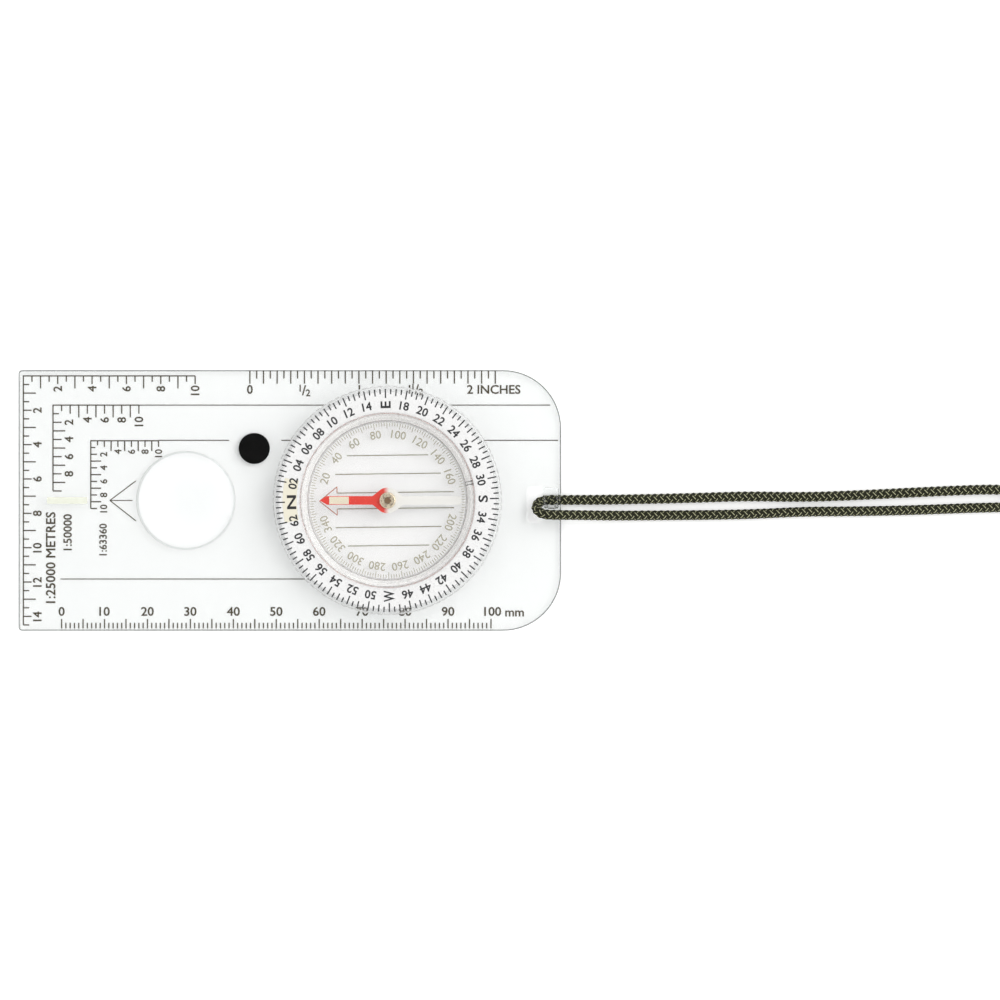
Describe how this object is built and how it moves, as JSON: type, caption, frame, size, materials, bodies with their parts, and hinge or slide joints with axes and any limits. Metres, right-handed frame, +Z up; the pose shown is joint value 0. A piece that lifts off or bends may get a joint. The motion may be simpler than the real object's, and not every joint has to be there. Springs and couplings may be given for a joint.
{
  "type": "baseplate compass",
  "caption": "Clear baseplate compass with a turning bezel, liquid capsule, free needle, magnifier, map scales and a braided neck lanyard through a slot.",
  "frame": {"origin": "centre of the plate's outline, on the plate's underside", "axes": "direction of travel along -X, lanyard end at +X, +Y across the plate, +Z up out of the dial's face"},
  "size_m": [0.27, 0.0652, 0.01],
  "materials": {
    "clear_acrylic": "polished, clear",
    "lens_acrylic": "polished, clear",
    "capsule_plastic": "polished, clear",
    "pad_rubber": "matt",
    "luminous": "matt, photoluminescent",
    "bezel_plastic": "satin, white",
    "spring_steel": "bright",
    "drag_felt": "felt",
    "seal_rubber": "translucent",
    "pivot_steel": "ground point",
    "needle_paint": "satin, red north half and white south half",
    "brass": "turned",
    "jewel": "polished",
    "plate_ink": "printed, warm dark grey",
    "dial_ink": "printed, black",
    "capsule_ink": "printed, olive grey",
    "braid": "braided, dark olive with pale flecks"
  },
  "bodies": {
    "plate": {"baseplate": "clear_acrylic", "magnifier_lens": "lens_acrylic", "non_slip_pad": "pad_rubber", "travel_strip": "luminous", "lanyard_over_strand": "braid", "lanyard_under_strand": "braid", "lanyard_coil": "braid", "lanyard_knot": "braid"},
    "dial": {"bezel_ring": "bezel_plastic", "north_luminous_patch": "luminous", "retaining_ring": "spring_steel", "drag_ring": "drag_felt", "capsule_base": "capsule_plastic", "capsule_seal_ring": "seal_rubber", "capsule_dome": "capsule_plastic", "filler_plug": "capsule_plastic", "pivot_pin": "pivot_steel"},
    "needle": {"needle_blade": "needle_paint", "needle_luminous_band": "luminous", "needle_hub": "brass", "jewel_bearing": "jewel"}
  },
  "joints": [
    {"name": "bezel_turn", "type": "hinge", "parent": "plate", "child": "dial", "pos_m": [0.0228, 0, 0.003], "axis": [0, 0, 1], "continuous": true},
    {"name": "needle_swing", "type": "hinge", "parent": "dial", "child": "needle", "pos_m": [0.0228, 0, 0.0056], "axis": [0, 0, 1], "continuous": true}
  ]
}
